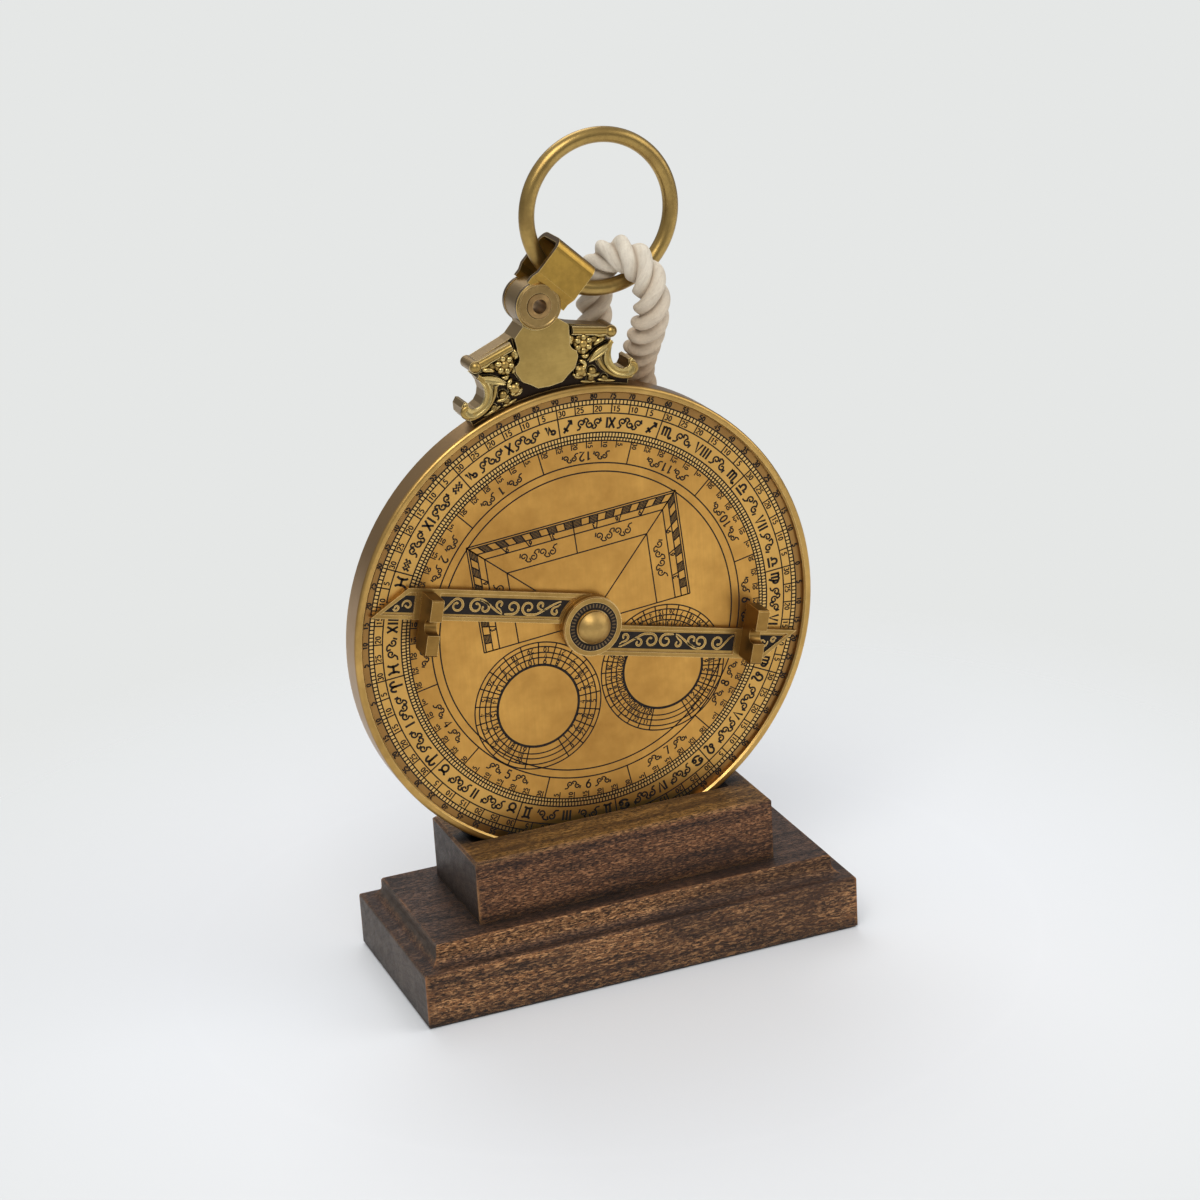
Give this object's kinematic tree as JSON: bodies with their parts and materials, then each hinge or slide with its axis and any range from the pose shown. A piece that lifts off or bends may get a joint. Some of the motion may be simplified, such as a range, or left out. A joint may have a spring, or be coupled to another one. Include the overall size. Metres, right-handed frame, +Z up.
{
  "type": "planispheric astrolabe on a display stand",
  "caption": "Brass planispheric astrolabe with a sighting alidade, cast throne, shackle, ring and rope loop, standing in a slotted dark wood stand",
  "frame": {"origin": "centre of the stand's underside", "axes": "+X along the stand towards the viewer's right, the engraved dial faces -Y, +Z up"},
  "size_m": [0.176, 0.077, 0.3036],
  "materials": {
    "wood": "dark brown stained hardwood, waxed, edges worn to orange brown",
    "steel": "plain wood screws",
    "aged_brass": "brown antiqued brass, satin",
    "plate_brass": "golden mottled brass plate with blackened engraving",
    "bright_brass": "golden satin brass with blackened recesses",
    "cast_brass": "cast brass, polished on the high parts and near black in the recesses",
    "rivet_brass": "reddish brass tube rivet",
    "rope": "off-white three-strand rope",
    "twine": "waxed twine whipping"
  },
  "bodies": {
    "stand": {"stand_base": "wood", "stand_block": "wood", "stand_screws": "steel"},
    "astrolabe": {"mater": "aged_brass", "limb_ring": "plate_brass", "back_plate": "plate_brass", "tympan_lower": "plate_brass", "tympan_upper": "plate_brass", "rule_washer": "aged_brass", "centre_pin": "bright_brass", "wedge": "aged_brass", "alidade_washer": "aged_brass", "throne": "cast_brass", "throne_pins": "aged_brass", "shackle_rivet": "rivet_brass", "rope_tail": "rope", "rope_whipping": "twine"},
    "alidade": {"alidade": "bright_brass", "vane_left": "bright_brass", "vane_right": "bright_brass", "vane_rivets": "aged_brass"},
    "rete": {"rete": "bright_brass"},
    "rule": {"rule": "bright_brass"},
    "shackle": {"shackle": "aged_brass"},
    "ring": {"ring": "aged_brass", "rope_bight": "rope"}
  },
  "joints": [
    {"name": "astrolabe_lift", "type": "slide", "parent": "stand", "child": "astrolabe", "axis": [0, 0, 1], "range_m": [0, 0.06]},
    {"name": "alidade_spin", "type": "hinge", "parent": "astrolabe", "child": "alidade", "pos_m": [-0.002, 0, 0.1268], "axis": [0, 1, 0], "continuous": true},
    {"name": "rete_spin", "type": "hinge", "parent": "astrolabe", "child": "rete", "pos_m": [-0.002, 0, 0.1268], "axis": [0, 1, 0], "continuous": true},
    {"name": "rule_spin", "type": "hinge", "parent": "astrolabe", "child": "rule", "pos_m": [-0.002, 0, 0.1268], "axis": [0, 1, 0], "continuous": true},
    {"name": "shackle_swing", "type": "hinge", "parent": "astrolabe", "child": "shackle", "pos_m": [-0.01413, 0, 0.24619], "axis": [0, 1, 0], "range_deg": [-44, 5], "deforming": ["rope_tail", "rope_bight"]},
    {"name": "ring_swing", "type": "hinge", "parent": "shackle", "child": "ring", "pos_m": [-0.00584, 0, 0.25486], "axis": [0.723, 0, -0.6909], "range_deg": [-45, 30], "deforming": ["rope_tail", "rope_bight"]}
  ]
}
